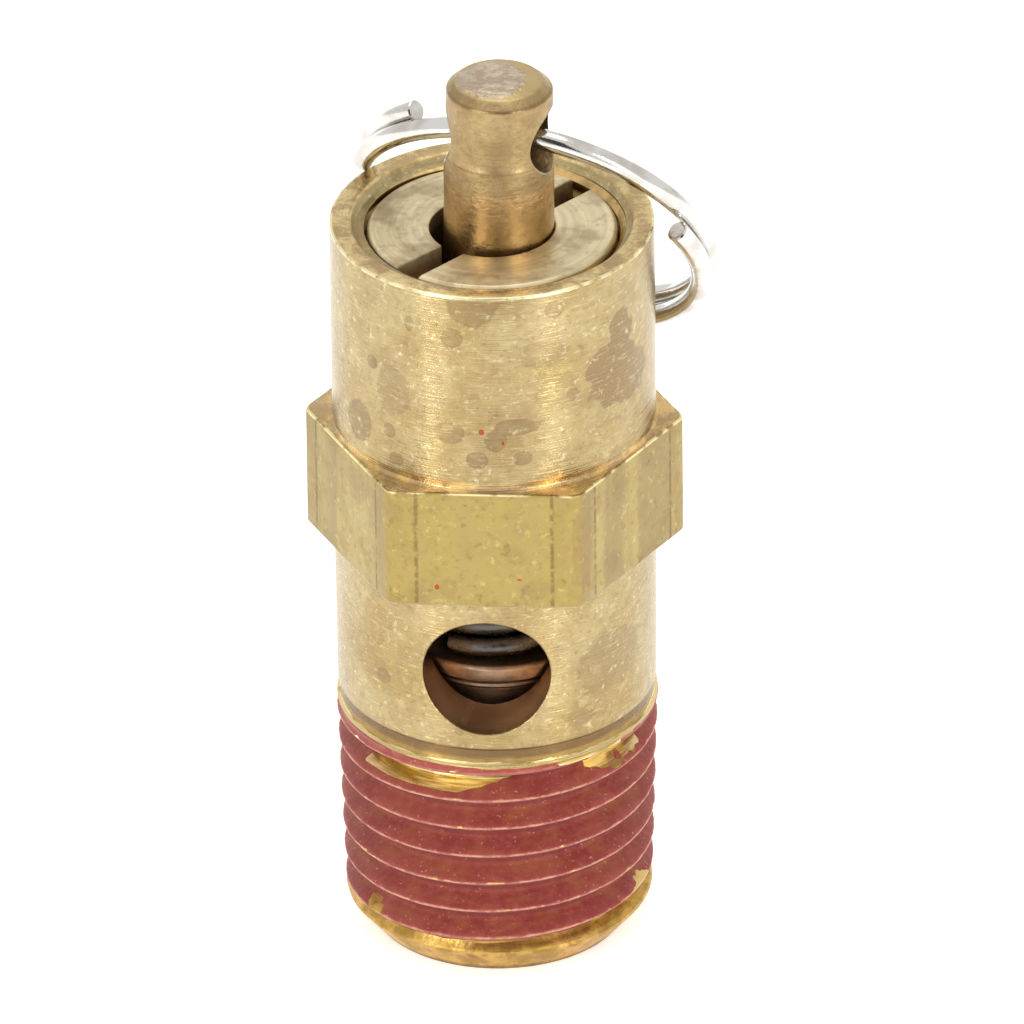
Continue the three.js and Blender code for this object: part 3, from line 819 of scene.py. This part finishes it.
def drawn_brass():
    """The hexagon's flats: the bar as it was drawn, greener, with fine lines along its length."""
    look = Look("drawn_brass", 1.0, Anisotropic=0.5)
    drawn = look.combine(look.x, look.y, look.times(look.z, 0.03))
    lines = look.noise(2.2, detail=6, rough=0.65, place=drawn)
    cloud = look.noise(0.7, rough=0.6)
    colour = look.mix(look.step(lines, 0.3, 0.8, 0.0, 0.6), BRASS_GREEN, rgb(162, 142, 94))
    # Painted reflection: every flat but the front one is tinted a greyer tan, with soft streaks along the
    # bar.
    side = look.step(look.apart(look.angle, FACE_YAW - math.pi / 2), 0.5, 0.6)
    drawn = look.combine(look.x, look.y, look.times(look.z, 0.05))
    streak = look.step(look.noise(0.9, detail=3, place=drawn), 0.4, 0.6)
    tan = look.mix(streak, rgb(172, 154, 102), rgb(149, 131, 92))
    colour = look.tint(colour, tan, side, 0.7)
    colour = look.tint(colour, BRASS_STAIN, look.step(cloud, 0.48, 0.7), 0.3)
    mottle = look.clouds(3.0, 0.52, 0.72)
    colour = look.tint(colour, rgb(128, 106, 62), mottle, 0.7)
    # Painted highlights: small bright flecks that stand in for glints of light.
    painted_glint = look.clouds(2.6, 0.56, 0.68)
    colour = look.tint(colour, rgb(216, 202, 128), painted_glint, 0.35)
    grime = look.clouds(0.9, 0.52, 0.66, detail=6)
    colour = look.tint(colour, rgb(150, 124, 96), grime, 0.3)
    sixth = math.pi / 3
    folded = look.minus(look.math("FLOORED_MODULO", look.minus(look.angle, FACE_YAW), sixth), sixth / 2)
    across = look.math("ABSOLUTE", look.times(look.radius, look.math("SINE", folded)))
    strip = look.step(across, STRIP_EDGE - 0.03, STRIP_EDGE + 0.05)
    groove = look.step(look.apart(across, STRIP_EDGE), 0.13, 0.03)
    broken = look.clouds(2.6, 0.38, 0.55, detail=4, rough=0.5)
    wear_and_highlight_patches = look.times(strip, look.clouds(1.6, 0.42, 0.6))
    colour = look.tint(colour, rgb(158, 132, 80), wear_and_highlight_patches, 0.5)
    colour = look.tint(colour, rgb(120, 96, 58), look.times(groove, broken), 0.7)
    smudge = look.times(marks(look, SMUDGES, 1.6)[0], look.step(grime, 0.0, 1.0, 0.3, 0.5))
    colour = look.mix(smudge, colour, rgb(142, 118, 84))
    # Painted highlight along the hexagon's top edge, broken up by noise.
    edge = look.times(look.step(look.z, HEX_TOP - 0.13, HEX_TOP - 0.06),
                      look.clouds(1.2, 0.4, 0.52, detail=4, rough=0.5))
    colour = look.tint(colour, rgb(246, 230, 178), edge, 0.75)
    colour = look.tint(colour, RED_SPECK, marks(look, SPECKS, 0.3)[0], 0.85)
    rough = look.step(cloud, 0.3, 0.7, 0.36, 0.46)
    normal = look.bump(lines, 0.012)
    normal = look.bump(look.noise(7.0), 0.006, normal)
    normal = look.bump(look.times(groove, -1.0), 0.02, normal)
    return look.finish(colour, rough, normal)


def thread_rise(look):
    """How far a place on the thread is above the crest nearest to it, in mm."""
    climb = look.times(look.angle, PITCH / (2 * math.pi))
    below = look.plus(climb, CREST_Z_FRONT - PITCH / 4)
    return look.minus(look.math("FLOORED_MODULO", look.minus(look.z, below), PITCH), PITCH / 2)


def thread_brass():
    look = Look("thread_brass", 1.0, Anisotropic=0.7, Anisotropic_Rotation=0.25)
    cloud = look.noise(1.2)
    colour = look.mix(look.step(cloud, 0.35, 0.65), rgb(208, 168, 92), rgb(226, 196, 132))
    # Painted reflections and shade: bright and dark bands along the wiped groove, following the thread's
    # turns.
    along = look.combine(look.times(look.angle, 0.3), 0.0, thread_rise(look))
    band = look.step(look.noise(3.2, detail=3, rough=0.7, place=along), 0.42, 0.58)
    upper = look.step(look.z, 8.4, 8.8)
    painted_light_bands = look.mix(band, rgb(142, 112, 46), rgb(246, 226, 168))
    colour = look.tint(colour, painted_light_bands, upper, 0.8)
    chamfer = look.step(look.z, 2.6, 2.2)
    patchy = look.clouds(0.9, 0.4, 0.6)
    olive = look.mix(patchy, rgb(206, 168, 92), rgb(168, 132, 66))
    residue = look.clouds(1.3, 0.58, 0.66, detail=6)
    olive = look.tint(olive, rgb(140, 66, 48), residue, 0.55)
    olive = look.tint(olive, rgb(112, 86, 52), look.step(look.z, 0.34, 0.16), 0.6)
    colour = look.mix(chamfer, colour, olive)
    normal = look.bump(turning_marks(look, 12.0), 0.015)
    normal = look.bump(look.noise(3.0), 0.03, normal)
    rough = look.plus(look.step(cloud, 0.3, 0.7, 0.24, 0.34), look.times(chamfer, 0.1))
    return look.finish(colour, rough, normal)


def bore_brass():
    look = Look("bore_brass", 1.0)
    cloud = look.noise(0.9, detail=5, rough=0.7)
    bright = look.mix(look.step(cloud, 0.35, 0.65), rgb(210, 176, 116), BRASS_GOLD)
    brown = look.mix(cloud, BORE_BROWN, BORE_DARK)
    inside = look.between(look.z, 9.5, 10.6, 31.5, 33.4)
    colour = look.mix(inside, bright, brown)
    normal = look.bump(turning_marks(look), 0.012)
    return look.finish(colour, look.step(cloud, 0.3, 0.7, 0.3, 0.48), normal)


def red_sealant():
    look = Look("red_sealant", 0.0, Specular_IOR_Level=0.3, Sheen_Weight=0.25, Sheen_Roughness=0.5)
    cloud = look.noise(0.6, rough=0.6)
    fine = look.noise(6.0, detail=5, rough=0.7)
    rise = thread_rise(look)
    away = look.math("ABSOLUTE", rise)
    red = look.mix(look.step(cloud, 0.35, 0.65), rgb(138, 47, 41), rgb(150, 66, 52))
    mottle = look.clouds(2.4, 0.46, 0.66, detail=6, rough=0.75)
    red = look.tint(red, rgb(172, 92, 74), mottle, 0.3)
    root = look.between(rise, 0.16, 0.32, 0.5, 0.66)
    wear_and_highlight_patches = look.noise(0.75, detail=6, rough=0.7)
    orange = look.times(root, look.step(wear_and_highlight_patches, 0.46, 0.62))
    colour = look.tint(red, rgb(158, 92, 48), orange, 0.55)
    # Painted shade: darker red down towards each root of the thread.
    colour = look.mix(look.step(away, 0.54, 0.66, 0.0, 0.6), colour, rgb(104, 34, 30))
    flat = look.combine(look.times(look.angle, 4.0), 0.0, look.times(look.z, 2.0))
    streak = look.noise(2.6, detail=6, rough=0.8, place=flat)
    ragged = look.plus(away, look.times(streak, 0.22))
    lower_turns = look.step(look.z, 10.7, 10.2, 0.3, 1.0)
    thick = look.clouds(1.5, 0.38, 0.6, 0.2, 0.85)
    # Pale worn paste on the crests of the lower turns, its brightest streaks a painted highlight along the
    # crests.
    chalk_and_crest_highlight = look.times(look.times(look.step(ragged, 0.19, 0.12), lower_turns), thick)
    colour = look.mix(chalk_and_crest_highlight, colour, look.mix(streak, rgb(196, 128, 104), rgb(226, 178, 146)))
    lint = look.clouds(6.0, 0.66, 0.72, detail=3, rough=0.5)
    colour = look.tint(colour, rgb(220, 170, 154), lint, 0.5)
    normal = look.bump(fine, 0.04)
    return look.finish(colour, look.step(fine, 0.3, 0.7, 0.45, 0.7), normal)


def aged_stem_brass():
    look = Look("aged_stem_brass", 1.0, Anisotropic=0.6, Anisotropic_Rotation=0.25)
    cloud = look.noise(0.75, detail=5, rough=0.65)
    colour = look.mix(look.step(cloud, 0.35, 0.65), rgb(152, 129, 90), rgb(174, 151, 108))
    low = look.step(look.plus(look.z, look.times(look.noise(1.5, detail=3), 0.5)), 37.0, 36.7)
    colour = look.tint(colour, rgb(196, 164, 116), low, 0.75)
    stain = look.clouds(0.8, 0.52, 0.68, rough=0.6)
    colour = look.tint(colour, rgb(138, 110, 84), stain, 0.5)
    spot = look.clouds(2.6, 0.5, 0.68, detail=6, rough=0.75)
    colour = look.tint(colour, rgb(132, 104, 76), spot, 0.45)
    up = look.step(look.z, STEM_TOP - 0.2, STEM_TOP - 0.06)
    wander = look.times(look.noise(1.1), 1.2)
    end = look.times(up, look.step(look.plus(look.radius, wander), 2.2, 2.0))
    bumps = look.noise(1.5, rough=0.55)
    patch = look.mix(look.step(bumps, 0.45, 0.6), rgb(176, 157, 140), rgb(200, 185, 166))
    colour = look.tint(colour, rgb(206, 180, 128), up, 0.6)
    colour = look.tint(colour, patch, end, 0.85)
    up_from_bevel = look.minus(look.z, STEM_BEVEL_Z)
    bevel = look.between(up_from_bevel, -0.1, -0.02, 0.04, 0.12)
    colour = look.tint(colour, rgb(110, 84, 52), bevel, 0.4)
    ridge = look.step(look.apart(look.z, STEM_RIDGE_Z - 0.03), 0.07, 0.02)
    colour = look.tint(colour, rgb(120, 92, 58), ridge, 0.4)
    rough = look.plus(look.step(low, 0.0, 1.0, 0.34, 0.25), look.times(stain, 0.06))
    normal = look.bump(turning_marks(look, 7.0), 0.016)
    normal = look.bump(look.noise(3.0, detail=5, rough=0.65), 0.035, normal)
    normal = look.bump(look.times(bumps, end), 0.1, normal)
    return look.finish(colour, rough, normal)


def faced_brass():
    """The adjusting screw: a faced end with rings round its centre."""
    look = Look("faced_brass", 1.0, Anisotropic=0.3, Anisotropic_Rotation=0.25)
    cloud = look.noise(0.5)
    rings = look.noise(4.0, detail=5, place=look.combine(look.radius, look.times(look.angle, 0.25), look.z))
    colour = look.mix(look.step(rings, 0.3, 0.7), rgb(210, 194, 156), rgb(232, 218, 182))
    colour = look.tint(colour, BRASS_STAIN, look.step(cloud, 0.46, 0.64), 0.5)
    smudge = look.clouds(1.4, 0.5, 0.68, detail=6, rough=0.75)
    colour = look.tint(colour, TARNISH, smudge, 0.4)
    deep = look.step(look.z, SCREW_TOP - 0.09, SCREW_TOP - 0.89)
    colour = look.tint(colour, TARNISH, deep, 0.6)
    normal = look.bump(rings, 0.015)
    return look.finish(colour, look.step(cloud, 0.3, 0.7, 0.38, 0.48), normal)


def poppet_brass():
    look = Look("poppet_brass", 1.0)
    cloud = look.noise(1.4, detail=5, rough=0.7)
    colour = look.mix(look.step(cloud, 0.35, 0.65), rgb(190, 154, 126), rgb(150, 128, 110))
    normal = look.bump(turning_marks(look), 0.02)
    return look.finish(colour, look.step(cloud, 0.3, 0.7, 0.3, 0.45), normal)


def dark_spring_steel_and_shade():
    look = Look("dark_spring_steel_and_shade", 1.0)
    cloud = look.noise(2.0)
    # Dark steel, its colour painted darker still as shade for the coils deep inside the valve.
    colour = look.mix(cloud, rgb(70, 66, 63), rgb(112, 106, 100))
    normal = look.bump(look.noise(8.0, detail=3), 0.008)
    return look.finish(colour, look.step(cloud, 0.3, 0.7, 0.22, 0.36), normal)


def bright_nickel():
    look = Look("bright_nickel", 1.0)
    cloud = look.noise(0.6)
    colour = look.mix(look.step(cloud, 0.4, 0.62), rgb(218, 216, 212), rgb(196, 191, 184))
    normal = look.bump(look.noise(4.0, detail=3), 0.006)
    return look.finish(colour, look.step(cloud, 0.3, 0.7, 0.10, 0.2), normal)


def black_elastomer():
    look = Look("black_elastomer", 0.0)
    fine = look.noise(9.0, detail=3)
    colour = look.mix(fine, rgb(30, 30, 31), rgb(52, 51, 50))
    return look.finish(colour, look.step(fine, 0.3, 0.7, 0.55, 0.75), look.bump(fine, 0.01))


# ---- the studio ----
VALVE_MIDDLE = Vector((0, 0, 0.02))     # the lights and the camera face this point
CAMERA_DISTANCE = 1.0
CAMERA_ELEVATION, CAMERA_ROLL = math.radians(30.18), math.radians(-0.645)
CAMERA_LENS, SENSOR = 812.2, 36.0
CAMERA_ASIDE = (0.000725, -0.000223)    # then the camera is moved this far to its right and up


def studio_camera():
    forward = Vector((0, math.cos(CAMERA_ELEVATION), -math.sin(CAMERA_ELEVATION)))
    level = Vector((1, 0, 0))
    upright = level.cross(forward)
    right = level * math.cos(CAMERA_ROLL) + upright * math.sin(CAMERA_ROLL)
    up = upright * math.cos(CAMERA_ROLL) - level * math.sin(CAMERA_ROLL)
    camera = bpy.data.objects.new("studio_camera", bpy.data.cameras.new("studio_camera"))
    bpy.context.scene.collection.objects.link(camera)
    camera.data.sensor_width = SENSOR
    camera.data.lens = CAMERA_LENS
    camera.data.clip_start, camera.data.clip_end = 0.1, 20
    place = VALVE_MIDDLE - forward * CAMERA_DISTANCE + right * CAMERA_ASIDE[0] + up * CAMERA_ASIDE[1]
    turn = Matrix((right, up, -forward)).transposed().to_4x4()
    camera.matrix_world = Matrix.Translation(place) @ turn
    bpy.context.scene.camera = camera


def soft_light(name, place, size, watts):
    light = bpy.data.lights.new(name, "AREA")
    light.shape = "RECTANGLE"
    light.size, light.size_y = size
    light.energy = watts
    lamp = bpy.data.objects.new(name, light)
    bpy.context.scene.collection.objects.link(lamp)
    lamp.location = place
    lamp.rotation_mode = "QUATERNION"
    lamp.rotation_quaternion = (VALVE_MIDDLE - Vector(place)).to_track_quat("-Z", "Y")


def pale_floor():
    half, rings, sides = 1.5, 24, 96
    radii = [half * (k / rings) ** 2 for k in range(rings + 1)]
    turn = np.arange(sides) * 2 * math.pi / sides
    points = [[(r * math.cos(a) / MM, r * math.sin(a) / MM, -0.01) for r in radii] for a in turn]
    look = Look("pale_floor", 0.0, Specular_IOR_Level=0.1, Emission_Color=(1, 1, 1, 1),
                Emission_Strength=0.46)
    grain = look.noise(0.02, detail=2)
    colour = look.mix(grain, rgb(250, 250, 250), rgb(253, 253, 253))
    floor = grid_piece("floor", np.array(points), [look.finish(colour, 0.8)])


def dark_flag(name, place, size):
    """A grey card behind the camera, which the ring and the stem's rounded edge mirror as a dark streak."""
    look = Look(name, 0.0, Specular_IOR_Level=0.1)
    grain = look.noise(0.02, detail=2)
    colour = look.mix(grain, rgb(52, 52, 54), rgb(60, 60, 61))
    half_width, half_height = size[0] / 2 / MM, size[1] / 2 / MM
    points = [(x, y, 0) for x in (-half_width, half_width) for y in (-half_height, half_height)]
    card = mesh_piece(name, points, [(0, 2, 3, 1)], [look.finish(colour, 0.9)])
    card.rotation_mode = "QUATERNION"
    card.rotation_quaternion = (VALVE_MIDDLE - Vector(place)).to_track_quat("Z", "Y")
    card.location = place


def white_room():
    world = bpy.data.worlds.new("white_room")
    bpy.context.scene.world = world
    world.use_nodes = True
    background = world.node_tree.nodes["Background"]
    background.inputs["Color"].default_value = (1.0, 0.99, 0.97, 1)
    background.inputs["Strength"].default_value = 0.95


studio_camera()
white_room()
pale_floor()
soft_light("left_softbox", (-0.40, -0.46, 0.22), (0.045, 0.36), 1.15)
soft_light("right_softbox", (0.38, -0.48, 0.22), (0.045, 0.36), 1.05)
soft_light("top_softbox", (0.0, 0.15, 0.8), (0.6, 0.6), 1.4)
dark_flag("dark_flag", (0.0, -1.3, 0.78), (0.6, 1.2))
bpy.context.scene.view_settings.view_transform = "Standard"

brass = turned_brass()
valve_body([brass, drawn_brass(), thread_brass(), bore_brass()])
thread_sealant(red_sealant())
adjusting_screw(faced_brass())
pull_stem(aged_stem_brass())
pull_ring(bright_nickel())
valve_spring(dark_spring_steel_and_shade())
poppet(poppet_brass())
seat_disc(black_elastomer())
spring_washer(brass)
